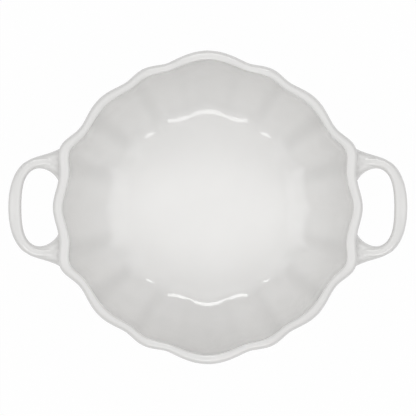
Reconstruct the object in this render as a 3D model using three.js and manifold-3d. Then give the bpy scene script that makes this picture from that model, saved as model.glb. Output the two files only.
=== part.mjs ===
// A pumpkin cocotte without its lid: a fluted pot of enamelled cast iron with two loop handles.
// Millimetres, +Z up, X through both handles. The origin is on the table under the middle of the pot.
import * as THREE from "three";
import { mergeVertices } from "three/addons/utils/BufferGeometryUtils.js";
import Module from "manifold-3d";

const wasm = await Module();
wasm.setup();

// Pot
const RIM_RADIUS = 120; // outer edge of the rim before the flutes
const RIM_HEIGHT = 113; // table to the flat top of the rim
const RIM_LAND = 0.8; // flat top, where a lid would rest
const RIM_SHOULDER = 3.9; // radius of the rim outside the flat
const RIM_CROWN = 4.6; // radius of the rim inside the flat
const RIM_INNER_EDGE = 1.2; // radius of the rim's inner edge
const CROWN_TURN = 24; // degrees that the crown turns down before it meets the inner edge
const LIP_HEIGHT = 14; // stretch below the rim in which the wall thickens to the rim's width
const WALL_THICKNESS = 5; // iron and both coats
const FLOOR_RADIUS = 62; // flat part of the floor inside
const WALL_SQUARENESS = 2.6; // exponent of the curve from floor to rim, where 2 is an ellipse
const FLUTE_RUNOUT = 12.5; // distance over which the flutes fade towards the floor
const ENAMEL = 0.5; // thickness of each coat

// Foot
const FOOT_RADIUS = 66;
const FOOT_WIDTH = 6;
const FOOT_HEIGHT = 2; // table to the coat inside the foot ring
const FOOT_CHAMFER = 0.4;

// Flutes: the turning points of the outline in one quarter, from the handle lobe to the front lobe, where
// lobes and valleys alternate. Each line has their distances outside the plain circle, and a fullness for
// each of its lobes.
const FLUTE_DEGREES = [0, 10, 22, 33.5, 44.5, 56.5, 65, 74, 90];
const FLOOR_LINE = {
  out: [1.5, -0.6, 4, 0.4, 4, 0.4, 3.2, 0, 1.7],
  fullness: [2, 2, 2, 2, 2],
};
const WALL_LINE = {
  out: [-0.6, -3.2, 2.1, -3.1, -1.7, -4, -2, -3.4, 1.1],
  fullness: [1.9, 3.4, 1.6, 1.8, 1.65],
};
const RIM_LINE = {
  out: [-0.3, -2.7, 3.2, -3.9, -1.4, -4.7, -2.1, -4.5, 1.1],
  fullness: [1.9, 2.45, 1.6, 1.8, 1.3],
};

// Handles
const FINGER_GAP = 25.3; // rim to the inside of the bar
const HANDLE_WIDTH = 10.1;
const CORNER_WIDTH = 8.5; // width of the bar between its fillets and its middle
const HANDLE_THICKNESS = 7.6;
const HANDLE_SQUARENESS = 2.7; // exponent of the bar's section, where 2 is an ellipse
const ROOT_SQUARENESS = 2.3; // and of its section between the wall and the corner
const HANDLE_SPREAD = 33.2; // middle plane to the middle of each root
const HANDLE_BAR_DROP = 13; // rim's top down to the middle of the bar
const HANDLE_ROOT_DROP = 19.5; // rim's top down to the middle of each root
const ROOT_HEIGHT = 9.5; // height of the bar where it leaves the wall
const ROOT_RUN = 30; // reach of the curve's control point from the root, outwards
const ROOT_SPLAY = 8.8; // and sideways
const BAR_STRAIGHT = 25.8; // reach of the curve's control point from the middle of the bar
const FILLET_SIDE_RUN = 25; // the hollow curves at the root: how far they reach along the bar
const FILLET_TOP_RUN = 7;
const FILLET_BELOW_RUN = 12;
const FILLET_OUTER_RISE = 17; // and along the wall, on the outer side, in the finger gap, above and below
const FILLET_GAP_RISE = 20;
const FILLET_TOP_RISE = 4;
const FILLET_BELOW_RISE = 9;
const FILLET_EDGE = 1; // height above the wall at which they end
const UPRIGHT_SHARE = 0.3; // share of half the loop in which its section turns from the wall to the bar
const TAPER_SHARE = 0.45; // and in which its height falls to the bar's
const CORNER_SHARE = 0.5; // where the bar begins to grow wider and squarer
const ROOT_SINK = 6; // how far the loop runs on inside the wall before it is trimmed
const ROOT_GAP = 0.3; // between the loop and the pot

// Fineness of the surfaces
const STEPS_PER_HALF_FLUTE = 3;
const WALL_STEPS = 6;
const ROUND_STEPS = 2;
const BAR_SIDES = 12;
const FILLET_STEPS = 6;
const BAR_STEPS = 7;

const DEGREE = Math.PI / 180;
const QUARTER = Math.PI / 2;
const HALVINGS = 40; // steps of a search by halves

const iron = { color: 0x3a3836, roughness: 0.7, metalness: 0.6 };
const whiteEnamel = { color: 0xf4f1ec, roughness: 0.12, metalness: 0 };

const crownTurn = CROWN_TURN * DEGREE;
const crownAcross = RIM_CROWN * Math.sin(crownTurn);
const crownDown = RIM_CROWN * (1 - Math.cos(crownTurn));
const rimWidth = RIM_SHOULDER + RIM_LAND + crownAcross + RIM_INNER_EDGE * (1 - Math.sin(crownTurn));
const innerRadius = RIM_RADIUS - rimWidth;

// Flutes
const smooth = (value, from, to) => THREE.MathUtils.smoothstep(value, from, to);

function fluteOut(angle, line) {
  const turned = Math.abs(angle / DEGREE) % 180;
  const folded = turned > 90 ? 180 - turned : turned;
  const next = Math.max(1, FLUTE_DEGREES.findIndex((degrees) => degrees >= folded));
  const [lobe, valley] = next % 2 ? [next - 1, next] : [next, next - 1];
  const along = (folded - FLUTE_DEGREES[valley]) / (FLUTE_DEGREES[lobe] - FLUTE_DEGREES[valley]);
  const rise = Math.sin(along * QUARTER) ** line.fullness[lobe / 2];
  return THREE.MathUtils.lerp(line.out[valley], line.out[lobe], rise);
}

function flutedRadius(angle, radius) {
  const depth = smooth(radius, FLOOR_RADIUS, FLOOR_RADIUS + FLUTE_RUNOUT);
  const level = Math.min(1, (radius - FLOOR_RADIUS) / (innerRadius - FLOOR_RADIUS));
  const onWall = THREE.MathUtils.lerp(fluteOut(angle, FLOOR_LINE), fluteOut(angle, WALL_LINE), level);
  const atEdge = smooth(radius, innerRadius, RIM_RADIUS);
  return radius + depth * THREE.MathUtils.lerp(onWall, fluteOut(angle, RIM_LINE), atEdge);
}

function quarterAngles() {
  const angles = [];
  for (let i = 1; i < FLUTE_DEGREES.length; i++) {
    for (let step = 0; step < STEPS_PER_HALF_FLUTE; step++) {
      const along = step / STEPS_PER_HALF_FLUTE;
      angles.push(THREE.MathUtils.lerp(FLUTE_DEGREES[i - 1], FLUTE_DEGREES[i], along));
    }
  }
  return angles;
}

function aroundAngles() {
  const quarter = quarterAngles();
  const mirrored = [90, ...quarter.slice(1).reverse()].map((angle) => 180 - angle);
  const half = [...quarter, ...mirrored];
  return [...half, ...half.map((angle) => angle + 180)].map((angle) => angle * DEGREE);
}

const ANGLES = aroundAngles();

// Section of the pot: x is the radius before the flutes, y the height
const floorHeight = FOOT_HEIGHT + WALL_THICKNESS;
const wallTop = RIM_HEIGHT - crownDown - RIM_INNER_EDGE * Math.cos(crownTurn);

function insidePoint(turn) {
  const power = 2 / WALL_SQUARENESS;
  const across = (innerRadius - FLOOR_RADIUS) * Math.sin(turn) ** power;
  const up = (wallTop - floorHeight) * (1 - Math.max(0, Math.cos(turn)) ** power);
  return new THREE.Vector2(FLOOR_RADIUS + across, floorHeight + up);
}

function intoWall(turn) {
  const power = 2 - 2 / WALL_SQUARENESS;
  const across = Math.sin(turn) ** power / (innerRadius - FLOOR_RADIUS);
  const down = Math.max(0, Math.cos(turn)) ** power / (wallTop - floorHeight);
  return new THREE.Vector2(across, -down).normalize();
}

function outsidePoint(turn) {
  const inside = insidePoint(turn);
  const lip = smooth(inside.y, RIM_HEIGHT - LIP_HEIGHT, RIM_HEIGHT - RIM_SHOULDER);
  const thickness = THREE.MathUtils.lerp(WALL_THICKNESS, rimWidth, lip);
  return inside.addScaledVector(intoWall(turn), thickness);
}

// Where a rising measure reaches a value
function whereReaches(measure, value, from = 0, to = QUARTER) {
  let low = from;
  let high = to;
  for (let i = 0; i < HALVINGS; i++) {
    const middle = (low + high) / 2;
    if (measure(middle) < value) low = middle;
    else high = middle;
  }
  return low;
}

const turnAtHeight = (height) => whereReaches((turn) => outsidePoint(turn).y, height);

function finishedSection() {
  const footTurn = whereReaches((turn) => outsidePoint(turn).x, FOOT_RADIUS);
  const topTurn = turnAtHeight(RIM_HEIGHT - RIM_SHOULDER);
  const outside = [];
  for (let i = 0; i < WALL_STEPS; i++) {
    outside.push(outsidePoint(THREE.MathUtils.lerp(footTurn, topTurn, i / WALL_STEPS)));
  }
  outside[0].x = FOOT_RADIUS;
  const landOuter = RIM_RADIUS - RIM_SHOULDER;
  for (let i = ROUND_STEPS; i >= 0; i--) {
    const turn = (i / ROUND_STEPS) * QUARTER;
    const down = RIM_SHOULDER * (1 - Math.cos(turn));
    outside.push(new THREE.Vector2(landOuter + RIM_SHOULDER * Math.sin(turn), RIM_HEIGHT - down));
  }
  const landInner = landOuter - RIM_LAND;
  outside.push(new THREE.Vector2(landInner, RIM_HEIGHT));
  for (let i = 0; i <= ROUND_STEPS; i++) {
    const turn = THREE.MathUtils.lerp(crownTurn, QUARTER, i / ROUND_STEPS);
    const across = crownAcross + RIM_INNER_EDGE * (Math.sin(turn) - Math.sin(crownTurn));
    const down = crownDown + RIM_INNER_EDGE * (Math.cos(crownTurn) - Math.cos(turn));
    outside.push(new THREE.Vector2(landInner - across, RIM_HEIGHT - down));
  }
  const inside = [];
  for (let i = WALL_STEPS - 1; i >= 0; i--) {
    inside.push(insidePoint((i / WALL_STEPS) * QUARTER));
  }
  inside.push(new THREE.Vector2(0, floorHeight));
  return { outside, inside };
}

// The same section, moved into the iron by one coat
function underCoat(points) {
  return points.map((point, i) => {
    const before = points[Math.max(0, i - 1)];
    const after = points[Math.min(points.length - 1, i + 1)];
    const first = point.clone().sub(i ? before : point).normalize();
    const second = after.clone().sub(i < points.length - 1 ? point : after).normalize();
    const along = first.clone().add(second).normalize();
    const mitre = i && i < points.length - 1 ? along.dot(first) : 1;
    return point.clone().add(new THREE.Vector2(-along.y, along.x).multiplyScalar(ENAMEL / mitre));
  });
}

// Solids
function shapeOf(positions, triangles) {
  const geometry = new THREE.BufferGeometry();
  geometry.setAttribute("position", new THREE.Float32BufferAttribute(positions, 3));
  geometry.setIndex(triangles);
  return geometry;
}

function solidOf(geometry) {
  const merged = mergeVertices(geometry);
  const vertProperties = new Float32Array(merged.attributes.position.array);
  const triVerts = new Uint32Array(merged.index.array);
  return new wasm.Manifold(new wasm.Mesh({ numProp: 3, vertProperties, triVerts }));
}

function cut(geometry, ...tools) {
  const left = tools.reduce((solid, tool) => solid.subtract(solidOf(tool)), solidOf(geometry));
  const mesh = left.getMesh();
  const shape = shapeOf(Array.from(mesh.vertProperties), Array.from(mesh.triVerts));
  shape.computeVertexNormals();
  return shape;
}

// Carries a section round the pot along the flutes. A section off the axis closes on itself.
// Two pieces that share a face split its quads along the same diagonal, so they touch all over.
function fluted(section) {
  const rows = section[0].x > 0 ? [...section, section[0]] : section;
  const positions = [];
  const first = [];
  for (const point of rows) {
    first.push(positions.length / 3);
    const angles = point.x > 0 ? ANGLES : [0];
    for (const angle of angles) {
      const radius = flutedRadius(angle, point.x);
      positions.push(radius * Math.cos(angle), radius * Math.sin(angle), point.y);
    }
  }
  const triangles = [];
  for (let row = 0; row < rows.length - 1; row++) {
    const low = first[row];
    const high = first[row + 1];
    const rising = rows[row].x + rows[row].y < rows[row + 1].x + rows[row + 1].y;
    for (let i = 0; i < ANGLES.length; i++) {
      const next = (i + 1) % ANGLES.length;
      if (rows[row].x === 0) {
        triangles.push(low, high + next, high + i);
      } else if (rows[row + 1].x === 0) {
        triangles.push(low + i, low + next, high);
      } else if (rising) {
        triangles.push(low + i, low + next, high + next, low + i, high + next, high + i);
      } else {
        triangles.push(low + i, low + next, high + i, low + next, high + next, high + i);
      }
    }
  }
  return mergeVertices(shapeOf(positions, triangles));
}

// Handle: a loop from wall to wall, drawn for the right-hand side

// X of the outside wall at a place beside the middle plane and above the table
function wallReach(sideways, height) {
  const radius = outsidePoint(turnAtHeight(height)).x;
  const across = (angle) => flutedRadius(angle, radius) * Math.sin(angle);
  const angle = whereReaches(across, Math.abs(sideways));
  return flutedRadius(angle, radius) * Math.cos(angle);
}

// Middle line of half a loop: 0 at the wall, 1 in the middle of the bar, straight on below 0
const rootHeight = RIM_HEIGHT - HANDLE_ROOT_DROP;
const barHeight = RIM_HEIGHT - HANDLE_BAR_DROP;
const barReach = RIM_RADIUS + fluteOut(0, RIM_LINE) + FINGER_GAP + HANDLE_WIDTH / 2;
const root = new THREE.Vector3(wallReach(HANDLE_SPREAD, rootHeight), HANDLE_SPREAD, rootHeight);
const loopLine = new THREE.CubicBezierCurve3(
  root,
  new THREE.Vector3(root.x + ROOT_RUN, HANDLE_SPREAD + ROOT_SPLAY, rootHeight),
  new THREE.Vector3(barReach, BAR_STRAIGHT, barHeight),
  new THREE.Vector3(barReach, 0, barHeight),
);

// A point of the bar before its fillets, and the way out from it in the plane of its section. The section
// stands upright to the wall at first, is tall there, and is narrowest at the corner.
function barPoint(along, turn) {
  const share = Math.max(0, along);
  const middle = loopLine.getPoint(share);
  middle.addScaledVector(loopLine.v1.clone().sub(root), 3 * (along - share));
  const leaning = smooth(along, 0, UPRIGHT_SHARE);
  const direction = new THREE.Vector3(1, 0, 0).lerp(loopLine.getTangent(share), leaning);
  const outward = new THREE.Vector3(0, 0, 1).cross(direction).normalize();
  const upward = direction.cross(outward).normalize();
  const pastCorner = smooth(along, CORNER_SHARE, 1);
  const width = THREE.MathUtils.lerp(CORNER_WIDTH, HANDLE_WIDTH, pastCorner);
  const height = THREE.MathUtils.lerp(ROOT_HEIGHT, HANDLE_THICKNESS, smooth(along, 0, TAPER_SHARE));
  const squareness = THREE.MathUtils.lerp(ROOT_SQUARENESS, HANDLE_SQUARENESS, pastCorner);
  const squared = (value) => Math.sign(value) * Math.abs(value) ** (2 / squareness);
  middle.addScaledVector(outward, (width / 2) * squared(Math.cos(turn)));
  middle.addScaledVector(upward, (height / 2) * squared(Math.sin(turn)));
  const way = outward.multiplyScalar(Math.cos(turn)).addScaledVector(upward, Math.sin(turn));
  return { point: middle, way };
}

function filletSize(turn, outer, inGap, above, below) {
  const beside = Math.cos(turn) > 0 ? outer : inGap;
  const upright = Math.sin(turn) > 0 ? above : below;
  return THREE.MathUtils.lerp(beside, upright, Math.sin(turn) ** 2);
}

// Where the bar's side lies a given distance off the wall
function alongAtGap(turn, gap) {
  const offWall = (along) => {
    const { point } = barPoint(along, turn);
    return point.x - wallReach(point.y, point.z);
  };
  return whereReaches(offWall, gap, -1, 1);
}

// A point of the fillet at a distance off the wall, moved out by a margin
function filletPoint(turn, gap, margin) {
  const run = filletSize(turn, FILLET_SIDE_RUN, FILLET_SIDE_RUN, FILLET_TOP_RUN, FILLET_BELOW_RUN);
  const rise = filletSize(turn, FILLET_OUTER_RISE, FILLET_GAP_RISE, FILLET_TOP_RISE, FILLET_BELOW_RISE);
  const { point, way } = barPoint(alongAtGap(turn, gap), turn);
  const inside = Math.max(0, (run - gap) / run);
  point.addScaledVector(way, margin + rise * (1 - Math.sqrt(1 - inside ** 2)));
  point.x = wallReach(point.y, point.z) + gap + margin;
  return point;
}

// Rings of points from inside the wall to the middle of the bar
function halfLoop(margin) {
  const turns = Array.from({ length: BAR_SIDES }, (_, i) => (i / BAR_SIDES) * 2 * Math.PI);
  const fillet = [];
  for (let i = 0; i <= FILLET_STEPS; i++) {
    const share = 1 - Math.cos((i / FILLET_STEPS) * QUARTER);
    const gap = THREE.MathUtils.lerp(FILLET_EDGE, FILLET_SIDE_RUN, share);
    fillet.push(turns.map((turn) => filletPoint(turn, gap, margin)));
  }
  const sunk = fillet[0].map((point) => new THREE.Vector3(point.x - ROOT_SINK, point.y, point.z));
  const filletEnd = Math.max(...turns.map((turn) => alongAtGap(turn, FILLET_SIDE_RUN)));
  const bar = [];
  for (let i = 1; i <= BAR_STEPS; i++) {
    const along = THREE.MathUtils.lerp(filletEnd, 1, i / BAR_STEPS);
    bar.push(turns.map((turn) => {
      const { point, way } = barPoint(along, turn);
      return point.addScaledVector(way, margin);
    }));
  }
  return [sunk, ...fillet, ...bar];
}

// The whole loop with its surface moved out by a margin
function handleLoop(margin) {
  const half = halfLoop(margin);
  const flipped = (point) => new THREE.Vector3(point.x, -point.y, point.z);
  const otherHalf = half.slice(0, -1).reverse().map((ring) => ring.map(flipped));
  const rings = [...half, ...otherHalf];
  const positions = rings.flat().flatMap((point) => point.toArray());
  const triangles = [];
  const last = (rings.length - 1) * BAR_SIDES;
  for (let i = 0; i < BAR_SIDES; i++) {
    const next = (i + 1) % BAR_SIDES;
    for (let ring = 0; ring < last; ring += BAR_SIDES) {
      triangles.push(ring + i, ring + next, ring + BAR_SIDES + next);
      triangles.push(ring + i, ring + BAR_SIDES + next, ring + BAR_SIDES + i);
    }
    if (i > 0 && i < BAR_SIDES - 1) {
      triangles.push(0, i + 1, i, last, last + i, last + i + 1);
    }
  }
  return shapeOf(positions, triangles);
}

// Assembly
const cocotte = new THREE.Group();

function addPiece(name, geometry, finish) {
  const piece = new THREE.Mesh(geometry, new THREE.MeshStandardMaterial(finish));
  piece.name = name;
  cocotte.add(piece);
  return piece;
}

const finished = finishedSection();
const core = underCoat([...finished.outside, ...finished.inside]);
core[0].x = FOOT_RADIUS;
core[core.length - 1].x = 0;
const seam = finished.outside.length - 1; // where the two coats meet, under the inner edge of the rim
const footInner = FOOT_RADIUS - FOOT_WIDTH;
const underside = FOOT_HEIGHT + ENAMEL;
const at = (radius, height) => new THREE.Vector2(radius, height);

addPiece("pot_casting", fluted([
  at(0, underside),
  at(footInner, underside),
  at(footInner, FOOT_CHAMFER),
  at(footInner + FOOT_CHAMFER, 0),
  at(FOOT_RADIUS - FOOT_CHAMFER, 0),
  at(FOOT_RADIUS, FOOT_CHAMFER),
  ...core,
]), iron);

addPiece("base_enamel", fluted([
  at(0, FOOT_HEIGHT),
  at(footInner, FOOT_HEIGHT),
  at(footInner, underside),
  at(0, underside),
]), whiteEnamel);

addPiece("inside_enamel", fluted([
  ...core.slice(seam).reverse(),
  finished.outside[seam],
  ...finished.inside,
]), whiteEnamel);

const outsideCoat = fluted([...finished.outside, ...core.slice(0, seam + 1).reverse()]);
const loopHole = handleLoop(ROOT_GAP);
const leftLoopHole = loopHole.clone().rotateZ(Math.PI);
addPiece("outside_enamel", cut(outsideCoat, loopHole, leftLoopHole), whiteEnamel);

// What the pot takes up, filled to the brim: it trims the ends of the loops
const potEnvelope = fluted([
  at(0, 0),
  at(FOOT_RADIUS, 0),
  ...core.slice(0, seam).map((point) => at(point.x + ROOT_GAP, point.y)),
  at(0, RIM_HEIGHT),
]);
const loop = handleLoop(0);
const loopCore = handleLoop(-ENAMEL);
const handleCasting = cut(loopCore, potEnvelope);
const handleCoat = cut(loop, loopCore, potEnvelope);

for (const [side, turn] of [["right", 0], ["left", Math.PI]]) {
  addPiece(`${side}_handle_casting`, handleCasting, iron).rotation.z = turn;
  addPiece(`${side}_handle_enamel`, handleCoat, whiteEnamel).rotation.z = turn;
}

export default cocotte;
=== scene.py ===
# An open pumpkin cocotte: fluted, enamelled cast iron with two loop handles, seen from straight above.
# Metres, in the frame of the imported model: X through the handles, Z up, the table at zero.
import math

import bpy
import numpy as np
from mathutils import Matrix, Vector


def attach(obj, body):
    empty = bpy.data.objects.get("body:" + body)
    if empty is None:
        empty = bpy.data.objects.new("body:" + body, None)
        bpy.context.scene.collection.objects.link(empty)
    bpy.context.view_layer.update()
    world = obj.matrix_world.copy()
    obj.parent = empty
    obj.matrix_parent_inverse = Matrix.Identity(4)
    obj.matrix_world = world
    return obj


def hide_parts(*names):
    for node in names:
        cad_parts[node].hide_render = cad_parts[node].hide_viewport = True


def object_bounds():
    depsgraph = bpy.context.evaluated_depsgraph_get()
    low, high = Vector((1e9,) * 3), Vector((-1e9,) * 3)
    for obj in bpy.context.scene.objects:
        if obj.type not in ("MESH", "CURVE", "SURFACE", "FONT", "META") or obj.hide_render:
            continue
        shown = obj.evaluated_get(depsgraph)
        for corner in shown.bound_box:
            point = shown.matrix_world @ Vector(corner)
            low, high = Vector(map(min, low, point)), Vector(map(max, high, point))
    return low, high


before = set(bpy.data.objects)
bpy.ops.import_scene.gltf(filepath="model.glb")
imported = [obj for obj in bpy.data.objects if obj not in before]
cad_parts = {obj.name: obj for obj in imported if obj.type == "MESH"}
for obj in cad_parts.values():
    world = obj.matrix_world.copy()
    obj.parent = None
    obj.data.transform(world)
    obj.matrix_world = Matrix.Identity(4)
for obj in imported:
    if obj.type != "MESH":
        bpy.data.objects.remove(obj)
cad_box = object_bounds()

# Pot casting
# The body of the pot, cast in iron: wall, floor and a foot ring. The ring is ground flat and stays bare, and
# enamel covers all the rest. Its outline swells into lobes like a pumpkin, the same in each quarter.
RIM_RADIUS = 0.120
RIM_HEIGHT = cad_box[1].z
RIM_LAND = 0.0008
RIM_SHOULDER = 0.0038
RIM_CROWN = 0.0043
RIM_INNER_EDGE = 0.0009
CROWN_TURN = math.radians(32.0)
LIP_HEIGHT = 0.014
WALL_THICKNESS = 0.005
FLOOR_RADIUS = 0.062
WALL_SQUARENESS = 2.6
FLUTE_RUNOUT = 0.0125
ENAMEL = 0.0005
FOOT_RADIUS = 0.066
FOOT_WIDTH = 0.006
FOOT_HEIGHT = 0.002
FOOT_CHAMFER = 0.0004
CROWN_ACROSS = RIM_CROWN * math.sin(CROWN_TURN)
CROWN_DOWN = RIM_CROWN * (1.0 - math.cos(CROWN_TURN))
RIM_INNER_DOWN = CROWN_DOWN + RIM_INNER_EDGE * math.cos(CROWN_TURN)
RIM_WIDTH = RIM_SHOULDER + RIM_LAND + CROWN_ACROSS + RIM_INNER_EDGE * (1.0 - math.sin(CROWN_TURN))
INNER_RADIUS = RIM_RADIUS - RIM_WIDTH
FLOOR_HEIGHT = FOOT_HEIGHT + WALL_THICKNESS
WALL_TOP = RIM_HEIGHT - RIM_INNER_DOWN
QUARTER = math.pi / 2
SHOULDER_STEPS = 13
CROWN_STEPS = 9
EDGE_STEPS = 9
OUTSIDE_STEPS = 37
INSIDE_STEPS = 57
FLOOR_STEPS = 6
CURVE_STEPS = 4000
DEGREES_PER_STEP = 1.5
POT_SHARP_DEGREES = 35.0

# One quarter of the outline, from the handle lobe to the front lobe, lobes and valleys by turns: how far each
# lies outside the plain circle beside the floor, under the rim and on the rim's outer edge, and how full each
# lobe is
FLUTE_DEGREES = [0.0, 10.0, 22.0, 33.5, 44.5, 56.5, 65.0, 74.0, 90.0]
FLOOR_OUT = [0.0015, -0.0006, 0.0040, 0.0004, 0.0040, 0.0004, 0.0032, 0.0000, 0.0017]
FLOOR_FULLNESS = [2.0, 2.0, 2.0, 2.0, 2.0]
WALL_OUT = [-0.0006, -0.0032, 0.0021, -0.0031, -0.0017, -0.0040, -0.0020, -0.0034, 0.0011]
WALL_FULLNESS = [1.9, 3.4, 1.6, 1.8, 1.65]
RIM_OUT = [-0.0003, -0.0027, 0.0032, -0.0039, -0.0014, -0.0047, -0.0021, -0.0045, 0.0011]
RIM_FULLNESS = [1.9, 2.45, 1.6, 1.8, 1.3]


def smooth(value, low, high):
    """Rises from 0 to 1 between two values, level at both ends."""
    share = np.clip((value - low) / (high - low), 0.0, 1.0)
    return share * share * (3.0 - 2.0 * share)


def in_one_quarter(angle):
    """An angle folded into the first quarter, in degrees, because the pot is the same in all four."""
    turned = np.degrees(np.abs(angle)) % 180.0
    return np.where(turned > 90.0, 180.0 - turned, turned)


def flute_out(angle, places, fullness):
    """How far the flutes lie outside the plain circle at an angle, from the places in one quarter."""
    folded = in_one_quarter(angle)
    out = np.zeros_like(folded)
    for first in range(len(FLUTE_DEGREES) - 1):
        lobe = first + first % 2
        valley = first + 1 - first % 2
        along = (folded - FLUTE_DEGREES[valley]) / (FLUTE_DEGREES[lobe] - FLUTE_DEGREES[valley])
        rise = np.sin(np.clip(along, 0.0, 1.0) * QUARTER) ** fullness[lobe // 2]
        here = (along >= 0.0) & (along <= 1.0)
        out = np.where(here, places[valley] + (places[lobe] - places[valley]) * rise, out)
    return out


def fluted_radius(angle, radius):
    """Where a point at this radius of a plain round pot lies on the fluted one."""
    depth = smooth(radius, FLOOR_RADIUS, FLOOR_RADIUS + FLUTE_RUNOUT)
    level = np.clip((radius - FLOOR_RADIUS) / (INNER_RADIUS - FLOOR_RADIUS), 0.0, 1.0)
    edge = smooth(radius, INNER_RADIUS, RIM_RADIUS)
    low = flute_out(angle, FLOOR_OUT, FLOOR_FULLNESS)
    high = flute_out(angle, WALL_OUT, WALL_FULLNESS)
    on_wall = low + (high - low) * level
    return radius + depth * (on_wall + (flute_out(angle, RIM_OUT, RIM_FULLNESS) - on_wall) * edge)


def inside_wall(turn):
    """Radius and height on the inside, from the floor's edge at 0 up to the rim at a quarter turn."""
    power = 2.0 / WALL_SQUARENESS
    across = (INNER_RADIUS - FLOOR_RADIUS) * np.sin(turn) ** power
    rise = (WALL_TOP - FLOOR_HEIGHT) * (1.0 - np.maximum(np.cos(turn), 0.0) ** power)
    return np.stack([FLOOR_RADIUS + across, FLOOR_HEIGHT + rise], axis=-1)


def outside_wall(turn):
    """The inside moved out by the wall's thickness, which grows towards the rim."""
    inside = inside_wall(turn)
    power = 2.0 - 2.0 / WALL_SQUARENESS
    across = np.sin(turn) ** power / (INNER_RADIUS - FLOOR_RADIUS)
    down = np.maximum(np.cos(turn), 0.0) ** power / (WALL_TOP - FLOOR_HEIGHT)
    into = np.stack([across, -down], axis=-1)
    into = into / np.linalg.norm(into, axis=-1, keepdims=True)
    lip = smooth(inside[..., 1], RIM_HEIGHT - LIP_HEIGHT, RIM_HEIGHT - RIM_SHOULDER)
    thickness = WALL_THICKNESS + (RIM_WIDTH - WALL_THICKNESS) * lip
    return inside + into * thickness[..., None]


def rim_section():
    """Over the rim from its outer edge: a round shoulder, a narrow land, a low crown, a small inner edge."""
    shoulder = np.linspace(QUARTER, 0.0, SHOULDER_STEPS)
    crown = np.linspace(0.0, CROWN_TURN, CROWN_STEPS)
    edge = np.linspace(CROWN_TURN, QUARTER, EDGE_STEPS)[1:]
    land_inner = RIM_RADIUS - RIM_SHOULDER - RIM_LAND
    across = np.concatenate([
        land_inner + RIM_LAND + RIM_SHOULDER * np.sin(shoulder),
        land_inner - RIM_CROWN * np.sin(crown),
        land_inner - CROWN_ACROSS - RIM_INNER_EDGE * (np.sin(edge) - math.sin(CROWN_TURN)),
    ])
    down = np.concatenate([
        RIM_SHOULDER * (1.0 - np.cos(shoulder)),
        RIM_CROWN * (1.0 - np.cos(crown)),
        CROWN_DOWN + RIM_INNER_EDGE * (math.cos(CROWN_TURN) - np.cos(edge)),
    ])
    return np.stack([across, RIM_HEIGHT - down], axis=-1)


def under_coat(section):
    """A section of the finished surface moved in by the thickness of the enamel."""
    along = np.gradient(section, axis=0)
    along = along / np.linalg.norm(along, axis=1, keepdims=True)
    return section + ENAMEL * np.stack([-along[:, 1], along[:, 0]], axis=-1)


# The finished surface, from the foot ring up the outside, over the rim and down to the middle of the floor
outside_turns = np.linspace(0.0, QUARTER, CURVE_STEPS)
outside_curve = outside_wall(outside_turns)
foot_turn = np.interp(FOOT_RADIUS, outside_curve[:, 0], outside_turns)
lip_turn = np.interp(RIM_HEIGHT - RIM_SHOULDER, outside_curve[:, 1], outside_turns)
outside_rows = outside_wall(np.linspace(foot_turn, lip_turn, OUTSIDE_STEPS)[:-1])
rim_rows = rim_section()
inside_rows = inside_wall(np.linspace(QUARTER, 0.0, INSIDE_STEPS)[1:])
floor_radii = np.linspace(FLOOR_RADIUS, 0.0, FLOOR_STEPS)[1:]
floor_rows = np.array([[radius, FLOOR_HEIGHT] for radius in floor_radii])
finished = np.concatenate([outside_rows, rim_rows, inside_rows, floor_rows])
core = under_coat(finished)
core[0, 0] = FOOT_RADIUS
core[-1, 0] = 0.0
seam = len(outside_rows) + len(rim_rows) - 1
around_pot = np.radians(np.arange(0.0, 360.0, DEGREES_PER_STEP))


def new_piece(name, points, faces, sharp_degrees):
    """A smooth mesh, sharp only where faces meet at more than this angle, on the one rigid body."""
    mesh = bpy.data.meshes.new(name)
    mesh.from_pydata(points.tolist(), [], faces)
    mesh.validate()
    mesh.shade_smooth()
    mesh.set_sharp_from_angle(angle=math.radians(sharp_degrees))
    piece = bpy.data.objects.new(name, mesh)
    bpy.context.scene.collection.objects.link(piece)
    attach(piece, "root")
    return piece


def ring_faces(first, second, count):
    """Quads between two rings of points that start at these numbers."""
    following = [(i + 1) % count for i in range(count)]
    return [(first + i, first + j, second + j, second + i) for i, j in enumerate(following)]


def fan_faces(ring, middle, count, ring_first):
    """Triangles between a ring of points and its middle, turned by which of the two comes first."""
    following = [(i + 1) % count for i in range(count)]
    if ring_first:
        return [(ring + i, ring + j, middle) for i, j in enumerate(following)]
    return [(middle, ring + j, ring + i) for i, j in enumerate(following)]


def fluted_piece(name, section):
    """Carries a section round the pot along the flutes. One that starts off the axis closes on itself."""
    count = len(around_pot)
    points, starts, faces = [], [], []
    for radius, height in section:
        starts.append(len(points))
        angles = around_pot if radius > 0.0 else around_pot[:1]
        reach = fluted_radius(angles, radius)
        across, deep = reach * np.cos(angles), reach * np.sin(angles)
        points.extend(np.stack([across, deep, np.full_like(angles, height)], axis=-1))
    on_axis = [radius == 0.0 for radius, _ in section]
    pairs = list(zip(range(len(section) - 1), range(1, len(section))))
    if not on_axis[0]:
        pairs.append((len(section) - 1, 0))
    for low, high in pairs:
        if on_axis[low]:
            faces += fan_faces(starts[high], starts[low], count, False)
        elif on_axis[high]:
            faces += fan_faces(starts[low], starts[high], count, True)
        else:
            faces += ring_faces(starts[low], starts[high], count)
    return new_piece(name, np.array(points), faces, POT_SHARP_DEGREES)


def node_maker(material):
    """Two helpers for a material or a world: one makes a node with its settings, one links two sockets."""
    tree = material.node_tree

    def make(kind, **settings):
        node = tree.nodes.new(kind)
        for key, value in settings.items():
            if hasattr(node, key):
                setattr(node, key, value)
            else:
                node.inputs[key.replace("_", " ")].default_value = value
        return node

    return make, tree.links.new


IRON_DARK = (0.030, 0.029, 0.028, 1.0)
IRON_PALE = (0.110, 0.105, 0.100, 1.0)
GRINDING_SHARE = 0.5


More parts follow.
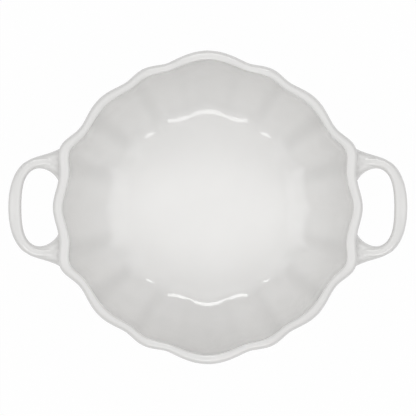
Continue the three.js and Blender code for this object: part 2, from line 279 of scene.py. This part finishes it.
def iron_finish():
    """Dark grey iron with a fine grain and the faint rings of the grinding wheel."""
    material = bpy.data.materials.new("bare_iron")
    material.use_nodes = True
    make, link = node_maker(material)
    shader = material.node_tree.nodes["Principled BSDF"]
    shader.inputs["Metallic"].default_value = 0.75
    place = make("ShaderNodeTexCoord")
    grain = make("ShaderNodeTexNoise", Scale=900.0, Detail=6.0)
    cloud = make("ShaderNodeTexNoise", Scale=60.0, Detail=4.0)
    rings = make("ShaderNodeTexWave", wave_type="RINGS", rings_direction="Z", Scale=420.0, Distortion=2.0)
    tint = make("ShaderNodeValToRGB")
    tint.color_ramp.elements[0].color = IRON_DARK
    tint.color_ramp.elements[1].color = IRON_PALE
    rough = make("ShaderNodeMapRange", To_Min=0.42, To_Max=0.68)
    bump = make("ShaderNodeBump", Strength=0.35, Distance=0.0002)
    relief = make("ShaderNodeMath", operation="MULTIPLY_ADD")
    relief.inputs[1].default_value = GRINDING_SHARE
    for texture in (grain, cloud, rings):
        link(place.outputs["Object"], texture.inputs["Vector"])
    link(cloud.outputs["Fac"], tint.inputs["Fac"])
    link(tint.outputs["Color"], shader.inputs["Base Color"])
    link(grain.outputs["Fac"], rough.inputs["Value"])
    link(rough.outputs["Result"], shader.inputs["Roughness"])
    link(rings.outputs["Fac"], relief.inputs[0])
    link(grain.outputs["Fac"], relief.inputs[2])
    link(relief.outputs["Value"], bump.inputs["Height"])
    link(bump.outputs["Normal"], shader.inputs["Normal"])
    return material


def hand_over(piece, finish, node):
    """Gives a piece its finish and hides the solid that it stands for."""
    piece.data.materials.append(finish)
    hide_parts(node)


bare_iron = iron_finish()
foot_inner = FOOT_RADIUS - FOOT_WIDTH
underside = FOOT_HEIGHT + ENAMEL
foot_section = np.array([
    [0.0, underside],
    [foot_inner, underside],
    [foot_inner, FOOT_CHAMFER],
    [foot_inner + FOOT_CHAMFER, 0.0],
    [FOOT_RADIUS - FOOT_CHAMFER, 0.0],
    [FOOT_RADIUS, FOOT_CHAMFER],
])
casting = fluted_piece("pot_casting_fine", np.concatenate([foot_section, core]))
hand_over(casting, bare_iron, "pot_casting")

# Handle castings
# Two iron loops, cast in one with the wall just under the rim. Each leaves the wall in a broad hollow fillet,
# runs out, turns and comes back. Enamel hides them.
HANDLE_WIDTH = 0.0101
CORNER_WIDTH = 0.0085
HANDLE_THICKNESS = 0.0076
HANDLE_SQUARENESS = 2.7
ROOT_SQUARENESS = 2.3
HANDLE_SPREAD = 0.0332
HANDLE_BAR_DROP = 0.013
HANDLE_ROOT_DROP = 0.0195
ROOT_RUN = 0.0300
ROOT_SPLAY = 0.0088
BAR_STRAIGHT = 0.0258
ROOT_HALF_HEIGHT = 0.00475
FILLET_SIDE_RUN = 0.0250
FILLET_OUTER_RISE = 0.0170
FILLET_GAP_RISE = 0.0200
FILLET_TOP_RUN = 0.0070
FILLET_TOP_RISE = 0.0040
FILLET_BELOW_RUN = 0.0120
FILLET_BELOW_RISE = 0.0090
UPRIGHT_SHARE = 0.3
TAPER_SHARE = 0.45
CORNER_SHARE = 0.5
BAR_STARTS_AFTER = 0.02
BAR_SIDES = 64
FILLET_RINGS = 26
BAR_RINGS = 28
PATCH_SHARES = (0.02, 0.25, 0.5, 0.75)
SEARCH_SPAN = (-0.6, 0.8)
HALVINGS = 40
WALL_TRIES = 12
SLOPE_STEP = 1e-5
LOOP_SHARP_DEGREES = 60.0
FORWARD = np.array([1.0, 0.0, 0.0])
UP = np.array([0.0, 0.0, 1.0])


def wall_reach(sideways, height):
    """X of the finished outside wall at a place beside the handle's middle plane and above the table."""
    plain = np.interp(height, outside_curve[:, 1], outside_curve[:, 0])
    reach = plain
    for _ in range(WALL_TRIES):
        angle = np.arcsin(np.clip(sideways / reach, -1.0, 1.0))
        reach = fluted_radius(angle, plain)
    return reach * np.cos(angle)


def wall_normals(points):
    """The way out of the finished outside wall at these points, from its slope."""
    y, z = points[:, 1], points[:, 2]
    across = (wall_reach(y + SLOPE_STEP, z) - wall_reach(y - SLOPE_STEP, z)) / (2 * SLOPE_STEP)
    up = (wall_reach(y, z + SLOPE_STEP) - wall_reach(y, z - SLOPE_STEP)) / (2 * SLOPE_STEP)
    normal = np.stack([np.ones_like(y), -across, -up], axis=-1)
    return normal / np.linalg.norm(normal, axis=1, keepdims=True)


root_height = RIM_HEIGHT - HANDLE_ROOT_DROP
root = np.array([float(wall_reach(np.array(HANDLE_SPREAD), root_height)), HANDLE_SPREAD, root_height])
leaves = root + [ROOT_RUN, ROOT_SPLAY, 0.0]
bar = np.array([cad_box[1].x - HANDLE_WIDTH / 2, 0.0, RIM_HEIGHT - HANDLE_BAR_DROP])
bends = bar + [0.0, BAR_STRAIGHT, 0.0]


def loop_middle(along):
    """Middle line of half a loop and its direction: 0 at the wall, 1 in mid bar, and straight below 0."""
    t = np.maximum(along, 0.0)[..., None]
    s = 1.0 - t
    curve = s ** 3 * root + 3 * s ** 2 * t * leaves + 3 * s * t ** 2 * bends + t ** 3 * bar
    speed = s ** 2 * (leaves - root) + 2 * s * t * (bends - leaves) + t ** 2 * (bar - bends)
    curve = curve + np.minimum(along, 0.0)[..., None] * 3 * (leaves - root)
    return curve, speed / np.linalg.norm(speed, axis=-1, keepdims=True)


def squared(value, squareness):
    """Flattens a round section's sides."""
    return np.sign(value) * np.abs(value) ** (2.0 / squareness)


def bar_surface(along, around):
    """A point of the bar without its fillets, and the way out from it in the plane of its section."""
    middle, direction = loop_middle(along)
    lean = smooth(along, 0.0, UPRIGHT_SHARE)[..., None]
    direction = (1 - lean) * FORWARD + lean * direction
    outward = np.cross(UP, direction)
    outward = outward / np.linalg.norm(outward, axis=-1, keepdims=True)
    upward = np.cross(direction, outward)
    upward = upward / np.linalg.norm(upward, axis=-1, keepdims=True)
    tapered = smooth(along, 0.0, TAPER_SHARE)
    half_height = ROOT_HALF_HEIGHT + (HANDLE_THICKNESS / 2 - ROOT_HALF_HEIGHT) * tapered
    past_corner = smooth(along, CORNER_SHARE, 1.0)
    half_width = (CORNER_WIDTH + (HANDLE_WIDTH - CORNER_WIDTH) * past_corner) / 2
    squareness = ROOT_SQUARENESS + (HANDLE_SQUARENESS - ROOT_SQUARENESS) * past_corner
    way = outward * np.cos(around)[..., None] + upward * np.sin(around)[..., None]
    wide = outward * (squared(np.cos(around), squareness) * half_width)[..., None]
    tall = upward * (squared(np.sin(around), squareness) * half_height)[..., None]
    return middle + wide + tall, way


def fillet_size(around, outer, gap_side, top, below):
    """A fillet's size round the bar, between its sizes on the four sides."""
    height_share = np.sin(around) ** 2
    beside = np.where(np.cos(around) > 0, outer, gap_side) * (1 - height_share)
    return beside + np.where(np.sin(around) > 0, top, below) * height_share


def half_loop():
    """Rings of points of the finished surface, from the wall to the middle of the bar."""
    around = np.linspace(0.0, 2 * math.pi, BAR_SIDES, endpoint=False)
    run = fillet_size(around, FILLET_SIDE_RUN, FILLET_SIDE_RUN, FILLET_TOP_RUN, FILLET_BELOW_RUN)
    rise = fillet_size(around, FILLET_OUTER_RISE, FILLET_GAP_RISE, FILLET_TOP_RISE, FILLET_BELOW_RISE)
    rings = []
    for step in np.linspace(0.0, QUARTER, FILLET_RINGS):
        gap = FILLET_SIDE_RUN * (1.0 - math.cos(step))
        low, high = (np.full(BAR_SIDES, end) for end in SEARCH_SPAN)
        for _ in range(HALVINGS):
            along = (low + high) / 2
            point, way = bar_surface(along, around)
            short = point[:, 0] - wall_reach(point[:, 1], point[:, 2]) < gap
            low, high = np.where(short, along, low), np.where(short, high, along)
        inside = np.clip((run - gap) / run, 0.0, 1.0)
        point = point + way * (rise * (1.0 - np.sqrt(1.0 - inside ** 2)))[..., None]
        point[:, 0] = wall_reach(point[:, 1], point[:, 2]) + gap
        rings.append(point)
    for share in np.linspace(along.max() + BAR_STARTS_AFTER, 1.0, BAR_RINGS):
        rings.append(bar_surface(np.full(BAR_SIDES, share), around)[0])
    return np.array(rings)


MIRROR = np.array([1.0, -1.0, 1.0])


def whole_loop():
    """Rings from wall to wall and their normals, which at both ends are the wall's own."""
    half = half_loop()
    rings = np.concatenate([half, half[-2::-1] * MIRROR])
    across = np.roll(rings, -1, axis=1) - np.roll(rings, 1, axis=1)
    normals = np.cross(across, np.gradient(rings, axis=0))
    normals = normals / np.linalg.norm(normals, axis=-1, keepdims=True)
    normals[0] = wall_normals(half[0])
    normals[-1] = normals[0] * MIRROR
    return rings, normals


loop_rings, loop_normals = whole_loop()
loop_core = loop_rings - loop_normals * ENAMEL
SIDES = {"right": np.array([1.0, 1.0, 1.0]), "left": np.array([-1.0, -1.0, 1.0])}


def wall_patch(ring, share):
    """A ring of points on the iron wall, drawn in from the loop's end towards its middle."""
    middle = ring.mean(axis=0)
    points = middle + (ring - middle) * share
    points[:, 0] = wall_reach(points[:, 1], points[:, 2])
    return points - wall_normals(points) * ENAMEL


def capped_loop(name, turn):
    """A solid loop, closed at both ends by a patch that lies against the wall."""
    patch = np.array([wall_patch(loop_rings[0], share) for share in PATCH_SHARES])
    rings = np.concatenate([patch, loop_core, patch[::-1] * MIRROR]) * turn
    count = rings.shape[1]
    last = (len(rings) - 1) * count
    faces = []
    for ring in range(len(rings) - 1):
        faces += ring_faces(ring * count, (ring + 1) * count, count)
    points = np.concatenate([rings.reshape(-1, 3), [rings[0].mean(axis=0), rings[-1].mean(axis=0)]])
    faces += fan_faces(0, last + count, count, False)
    faces += fan_faces(last, last + count + 1, count, True)
    return new_piece(name, points, faces, LOOP_SHARP_DEGREES)


for side, turn in SIDES.items():
    loop_iron = capped_loop(side + "_handle_casting_fine", turn)
    hand_over(loop_iron, bare_iron, side + "_handle_casting")

# Base enamel
# A disc of white glass on the shallow recess inside the foot ring. It is sprayed on and fired with the other
# coats, and the ring around it is ground clean afterwards.
SPRAYED_WHITE = (0.805, 0.799, 0.788)
SPRAYED_ROUGHNESS = (0.03, 0.07)
SPRAYED_RIPPLE = 0.00001
CLOUDING = 0.97
CLOUD_SPAN = (0.30, 0.70)
GLASS_INDEX = 1.65


def enamel_finish(name, white, roughness, ripple_height):
    """Glossy white glass, faintly clouded, with the low ripple that it keeps from flowing in the kiln."""
    material = bpy.data.materials.new(name)
    material.use_nodes = True
    make, link = node_maker(material)
    shader = material.node_tree.nodes["Principled BSDF"]
    shader.inputs["IOR"].default_value = GLASS_INDEX
    place = make("ShaderNodeTexCoord")
    cloud = make("ShaderNodeTexNoise", Scale=14.0, Detail=3.0)
    ripple = make("ShaderNodeTexNoise", Scale=110.0, Detail=2.0)
    tint = make("ShaderNodeValToRGB")
    tint.color_ramp.elements[0].position, tint.color_ramp.elements[1].position = CLOUD_SPAN
    tint.color_ramp.elements[0].color = (*(CLOUDING * part for part in white), 1.0)
    tint.color_ramp.elements[1].color = (*white, 1.0)
    rough = make("ShaderNodeMapRange", To_Min=roughness[0], To_Max=roughness[1])
    bump = make("ShaderNodeBump", Strength=1.0, Distance=ripple_height)
    for texture in (cloud, ripple):
        link(place.outputs["Object"], texture.inputs["Vector"])
    link(cloud.outputs["Fac"], tint.inputs["Fac"])
    link(tint.outputs["Color"], shader.inputs["Base Color"])
    link(ripple.outputs["Fac"], rough.inputs["Value"])
    link(rough.outputs["Result"], shader.inputs["Roughness"])
    link(ripple.outputs["Fac"], bump.inputs["Height"])
    link(bump.outputs["Normal"], shader.inputs["Normal"])
    return material


sprayed_enamel = enamel_finish("sprayed_enamel", SPRAYED_WHITE, SPRAYED_ROUGHNESS, SPRAYED_RIPPLE)
base = fluted_piece("base_enamel_fine", np.array([
    [0.0, FOOT_HEIGHT],
    [foot_inner, FOOT_HEIGHT],
    [foot_inner, underside],
    [0.0, underside],
]))
hand_over(base, sprayed_enamel, "base_enamel")

# Inside enamel
# The white glass coat on the floor and the inside wall, up to the inner edge of the rim. It is poured in,
# swirled and fired, so it lies smooth over the flutes. Shade is painted into its white: it is a little greyer
# on one flank of each rib.
POURED_WHITE = (0.893, 0.888, 0.878)
POURED_ROUGHNESS = (0.02, 0.05)
POURED_RIPPLE = 0.000005
# Painted shade on the rib flanks: the white's factor where it is darkest, and the radii over which it fades
# in
SHADED_FLANK_WHITE = 0.915
FLANK_SHADE_FROM = 0.072
FLANK_SHADE_TO = 0.096

# The flanks of one quarter with painted shade: degrees from the handle to a flank's two ends, and its share
# of the painted shade
SHADED_FLANKS = [(11.0, 24.0, 0.65), (32.0, 45.0, 1.0), (55.0, 65.5, 0.75), (74.0, 83.0, 0.3)]

# Places of a mix node's two colours in and its colour out
FIRST_COLOUR, SECOND_COLOUR, MIXED_COLOUR = 6, 7, 2


def painted_flank_shade(points):
    """How much painted shade these points get: along one flank of each rib, more towards the rim."""
    folded = in_one_quarter(np.arctan2(points[:, 1], points[:, 0]))
    shade_amount = np.zeros_like(folded)
    for first, last, share in SHADED_FLANKS:
        along = np.clip((folded - first) / (last - first), 0.0, 1.0)
        shade_amount = shade_amount + share * np.sin(along * math.pi) ** 2
    return shade_amount * smooth(np.hypot(points[:, 0], points[:, 1]), FLANK_SHADE_FROM, FLANK_SHADE_TO)


def paint_shade_on_flanks(material):
    """Greys the white with the painted shade along one flank of each rib."""
    make, link = node_maker(material)
    shader = material.node_tree.nodes["Principled BSDF"]
    white = shader.inputs["Base Color"].links[0].from_socket
    shade_amount = make("ShaderNodeAttribute", attribute_name="painted_flank_shade")
    grey = make("ShaderNodeMapRange", To_Min=1.0, To_Max=SHADED_FLANK_WHITE)
    tint = make("ShaderNodeMix", data_type="RGBA", blend_type="MULTIPLY", Factor=1.0)
    link(shade_amount.outputs["Fac"], grey.inputs["Value"])
    link(white, tint.inputs[FIRST_COLOUR])
    link(grey.outputs["Result"], tint.inputs[SECOND_COLOUR])
    link(tint.outputs[MIXED_COLOUR], shader.inputs["Base Color"])


poured_enamel = enamel_finish("poured_enamel", POURED_WHITE, POURED_ROUGHNESS, POURED_RIPPLE)
paint_shade_on_flanks(poured_enamel)
inside = fluted_piece("inside_enamel_fine", np.concatenate([core[seam:][::-1], finished[seam:]]))
corners = np.array([vertex.co for vertex in inside.data.vertices])
# The painted shade of the rib flanks is stored on the points, and the material greys the white by it
inside.data.attributes.new("painted_flank_shade", "FLOAT", "POINT").data.foreach_set("value", painted_flank_shade(corners))
hand_over(inside, poured_enamel, "inside_enamel")

# Outside enamel
# The white glass coat over the rounded rim and down the outside wall to the foot ring, sprayed on and fired.
# It meets the inside coat at the rim's inner edge, and the ring below it is ground bare.
to_seam = seam + 1
outside_section = np.concatenate([finished[:to_seam], core[:to_seam][::-1]])
outside = fluted_piece("outside_enamel_fine", outside_section)
hand_over(outside, sprayed_enamel, "outside_enamel")

# Handle enamel
# The coat round each iron loop, of the same white glass. It is sprayed and fired together with the outside
# coat, and flows into it at the wall without an edge.


def coat_of_loop(name, outer, inner, normals):
    """A shell between two loops, joined at the wall."""
    count = outer.shape[1]
    rings = np.concatenate([outer, inner[::-1]])
    faces = []
    for ring in range(len(rings)):
        faces += ring_faces(ring * count, (ring + 1) % len(rings) * count, count)
    piece = new_piece(name, rings.reshape(-1, 3), faces, LOOP_SHARP_DEGREES)
    both = np.concatenate([normals, -normals[::-1]]).reshape(-1, 3)
    piece.data.normals_split_custom_set_from_vertices(both.tolist())
    return piece


for side, turn in SIDES.items():
    name = side + "_handle_enamel_fine"
    coat = coat_of_loop(name, loop_rings * turn, loop_core * turn, loop_normals * turn)
    hand_over(coat, sprayed_enamel, side + "_handle_enamel")

# Stage
# A white table top under a white sky that is brightest towards the sides, two strip lamps before and behind
# the pot, whose reflections are the long streaks in the bowl, and a camera that looks straight down.
TABLE_HALF = 3.0
TABLE_CORNERS = ((-1, -1), (1, -1), (1, 1), (-1, 1))
TABLE_PAPER = (0.70, 0.70, 0.70, 1.0)
PLAIN_WHITE = (1.0, 1.0, 1.0, 1.0)
WHITE_SHARE = 0.98
mesh = bpy.data.meshes.new("table_top")
mesh.from_pydata([(x * TABLE_HALF, y * TABLE_HALF, 0.0) for x, y in TABLE_CORNERS], [], [(0, 1, 2, 3)])
table = bpy.data.objects.new("table_top", mesh)
bpy.context.scene.collection.objects.link(table)


def table_finish():
    """Pale paper that is plain white to the camera and in reflections, apart from a little of its shadow."""
    material = bpy.data.materials.new("white_table")
    material.use_nodes = True
    make, link = node_maker(material)
    tree = material.node_tree
    tree.nodes.remove(tree.nodes["Principled BSDF"])
    paper = make("ShaderNodeBsdfDiffuse", Color=TABLE_PAPER)
    glow = make("ShaderNodeEmission", Color=PLAIN_WHITE, Strength=1.0)
    path = make("ShaderNodeLightPath")
    seen = make("ShaderNodeMath", operation="ADD", use_clamp=True)
    also = make("ShaderNodeMath", operation="ADD", use_clamp=True)
    share = make("ShaderNodeMath", operation="MULTIPLY")
    share.inputs[1].default_value = WHITE_SHARE
    blend = make("ShaderNodeMixShader")
    link(path.outputs["Is Camera Ray"], seen.inputs[0])
    link(path.outputs["Is Glossy Ray"], seen.inputs[1])
    link(seen.outputs["Value"], also.inputs[0])
    link(path.outputs["Is Transmission Ray"], also.inputs[1])
    link(also.outputs["Value"], share.inputs[0])
    link(share.outputs["Value"], blend.inputs["Fac"])
    link(paper.outputs["BSDF"], blend.inputs[1])
    link(glow.outputs["Emission"], blend.inputs[2])
    link(blend.outputs["Shader"], tree.nodes["Material Output"].inputs["Surface"])
    return material


table.data.materials.append(table_finish())

# The white sky: its level at these angles from overhead down to the horizon, the same all round near the
# zenith, and then towards the sides, the back and the front. It is darker at the corners between them.
SKY_STRENGTH = 1.52
SKY_DEGREES = [0.0, 3.0, 12.0, 36.0, 48.0, 65.0, 90.0]
SKY_OVERHEAD = [0.55, 0.55, 0.25, 0.00, 0.00, 0.00, 0.00]
SKY_TO_SIDES = [0.00, 0.25, 0.75, 1.06, 1.02, 0.45, 0.20]
SKY_TO_BACK = [0.00, 0.12, 0.60, 0.50, 0.30, 0.20, 0.15]
SKY_TO_FRONT = [0.00, 0.08, 0.45, 0.65, 0.65, 0.25, 0.15]


def white_sky():
    """A world whose light depends on how far a direction leans from overhead, and to which side."""
    world = bpy.data.worlds.new("white_sky")
    world.use_nodes = True
    make, link = node_maker(world)
    background = world.node_tree.nodes["Background"]
    background.inputs["Strength"].default_value = SKY_STRENGTH
    place = make("ShaderNodeTexCoord")
    parts = make("ShaderNodeSeparateXYZ")
    link(place.outputs["Generated"], parts.inputs["Vector"])
    overhead = make("ShaderNodeMath", operation="ARCCOSINE")
    lean = make("ShaderNodeMath", operation="DIVIDE")
    lean.inputs[1].default_value = QUARTER
    link(parts.outputs["Z"], overhead.inputs[0])
    link(overhead.outputs["Value"], lean.inputs[0])

    def ramp(levels):
        node = make("ShaderNodeValToRGB")
        stops = node.color_ramp.elements
        for degrees in SKY_DEGREES[1:-1]:
            stops.new(degrees / SKY_DEGREES[-1])
        for stop, level in zip(stops, levels):
            stop.color = (level, level, level, 1.0)
        link(lean.outputs["Value"], node.inputs["Fac"])
        return node.outputs["Color"]

    def mix(factor, first, second):
        node = make("ShaderNodeMix", data_type="RGBA")
        link(factor, node.inputs["Factor"])
        link(first, node.inputs[FIRST_COLOUR])
        link(second, node.inputs[SECOND_COLOUR])
        return node.outputs[MIXED_COLOUR]

    def combine(operation, first, second):
        node = make("ShaderNodeMath", operation=operation)
        link(first, node.inputs[0])
        link(second, node.inputs[1])
        return node.outputs["Value"]

    across = combine("MULTIPLY", parts.outputs["X"], parts.outputs["X"])
    deep = combine("MULTIPLY", parts.outputs["Y"], parts.outputs["Y"])
    level_reach = combine("ADD", across, deep)
    sideways = combine("DIVIDE", across, level_reach)
    depthways = combine("DIVIDE", deep, level_reach)
    behind = make("ShaderNodeMath", operation="GREATER_THAN")
    behind.inputs[1].default_value = 0.0
    link(parts.outputs["Y"], behind.inputs[0])
    depth = mix(behind.outputs["Value"], ramp(SKY_TO_FRONT), ramp(SKY_TO_BACK))
    from_sides = combine("MULTIPLY", ramp(SKY_TO_SIDES), combine("MULTIPLY", sideways, sideways))
    from_depth = combine("MULTIPLY", depth, combine("MULTIPLY", depthways, depthways))
    around = combine("ADD", from_sides, from_depth)
    link(combine("ADD", ramp(SKY_OVERHEAD), around), background.inputs["Color"])
    return world


bpy.context.scene.world = white_sky()

# The strip lamps: how far off and how long both are, and each one's lean from overhead, depth and radiance
STRIP_DISTANCE = 1.46
STRIP_LENGTH = 0.71
FRONT_LEAN = math.radians(34.7)
FRONT_DEPTH = 0.37
FRONT_RADIANCE = 2.6
BACK_LEAN = math.radians(38.7)
BACK_DEPTH = 0.29
BACK_RADIANCE = 4.2


def strip_lamp(name, lean, turn, depth, radiance):
    """A lamp that faces the middle of the rim, leaning off the vertical and turned about it from +Y."""
    lamp = bpy.data.lights.new(name, "AREA")
    lamp.shape = "RECTANGLE"
    lamp.size, lamp.size_y = STRIP_LENGTH, depth
    lamp.energy = radiance * math.pi * STRIP_LENGTH * depth
    strip = bpy.data.objects.new(name, lamp)
    away = STRIP_DISTANCE * math.sin(lean)
    height = RIM_HEIGHT + STRIP_DISTANCE * math.cos(lean)
    strip.location = (-away * math.sin(turn), away * math.cos(turn), height)
    strip.rotation_euler = (-lean, 0.0, turn)
    strip.visible_camera = False
    bpy.context.scene.collection.objects.link(strip)


strip_lamp("front_strip", FRONT_LEAN, math.pi, FRONT_DEPTH, FRONT_RADIANCE)
strip_lamp("back_strip", BACK_LEAN, 0.0, BACK_DEPTH, BACK_RADIANCE)

# The camera: its height above the rim, the width of its view there, and a shift of less than a pixel
CAMERA_ABOVE_RIM = 1.300
SENSOR_MILLIMETRES = 24.0
FRAME_WIDTH = 0.3203
PICTURE_PIXELS = 416
SHIFT_RIGHT = 0.2 / PICTURE_PIXELS
SHIFT_DOWN = 0.65 / PICTURE_PIXELS
camera_data = bpy.data.cameras.new("camera")
camera_data.sensor_width = SENSOR_MILLIMETRES
camera_data.lens = SENSOR_MILLIMETRES * CAMERA_ABOVE_RIM / FRAME_WIDTH
camera_data.shift_x = SHIFT_RIGHT
camera_data.shift_y = -SHIFT_DOWN
camera = bpy.data.objects.new("camera", camera_data)
camera.location = (0.0, 0.0, RIM_HEIGHT + CAMERA_ABOVE_RIM)
bpy.context.scene.collection.objects.link(camera)
bpy.context.scene.camera = camera
bpy.context.scene.view_settings.view_transform = "Standard"
